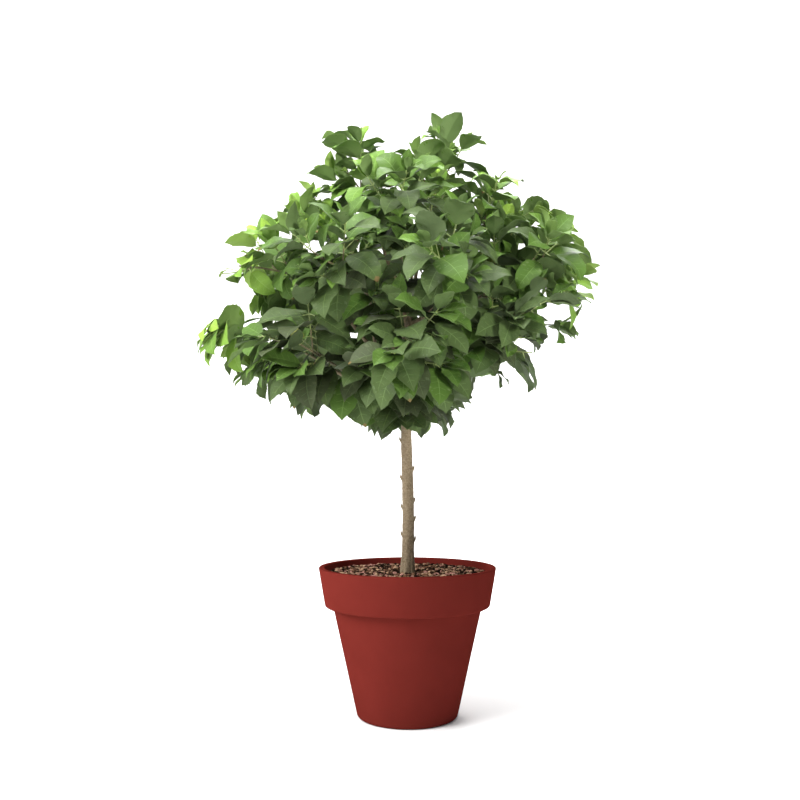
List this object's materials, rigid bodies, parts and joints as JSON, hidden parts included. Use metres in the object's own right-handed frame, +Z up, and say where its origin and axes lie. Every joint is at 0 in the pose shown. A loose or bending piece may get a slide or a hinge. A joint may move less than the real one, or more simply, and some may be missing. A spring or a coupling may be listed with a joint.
{
  "type": "potted dwarf tree",
  "caption": "Small standard tree with one clear stem and a broad, dense dome of large pointed leaves, growing in a red plastic flowerpot with a deep rim.",
  "frame": {"origin": "centre of the pot's flat underside, on the ground", "axes": "+Z up along the stem, -Y towards the front of the plant, +X to the plant's right as seen from the front"},
  "size_m": [1.0159, 0.9202, 1.4008],
  "materials": {
    "pot_plastic": "matte",
    "potting_mix": "rough",
    "bark": "rough",
    "leaf": "satin"
  },
  "bodies": {
    "root": {"bough_leader": "bark", "bough_low_back": "bark", "bough_low_back_left": "bark", "bough_low_back_right": "bark", "bough_low_front": "bark", "bough_low_front_left": "bark", "bough_low_front_right": "bark", "bough_low_left": "bark", "bough_low_right": "bark", "bough_mid_back": "bark", "bough_mid_back_left": "bark", "bough_mid_back_right": "bark", "bough_mid_front": "bark", "bough_mid_front_left": "bark", "bough_mid_front_right": "bark", "bough_mid_left": "bark", "bough_mid_right": "bark", "bough_top_left": "bark", "bough_upper_back": "bark", "bough_upper_front": "bark", "bough_upper_left": "bark", "bough_upper_right": "bark", "foliage_low_back": "leaf", "foliage_low_back_left": "leaf", "foliage_low_back_right": "leaf", "foliage_low_front": "leaf", "foliage_low_front_left": "leaf", "foliage_low_front_right": "leaf", "foliage_low_left": "leaf", "foliage_low_right": "leaf", "foliage_mid_back": "leaf", "foliage_mid_back_left": "leaf", "foliage_mid_back_right": "leaf", "foliage_mid_front": "leaf", "foliage_mid_front_left": "leaf", "foliage_mid_front_right": "leaf", "foliage_mid_left": "leaf", "foliage_mid_right": "leaf", "foliage_skirt_back": "leaf", "foliage_skirt_front": "leaf", "foliage_top_left": "leaf", "foliage_top_right": "leaf", "foliage_upper_back": "leaf", "foliage_upper_front": "leaf", "foliage_upper_left": "leaf", "foliage_upper_right": "leaf", "pot": "pot_plastic", "potting_soil": "potting_mix", "trunk": "bark"}
  },
  "joints": []
}
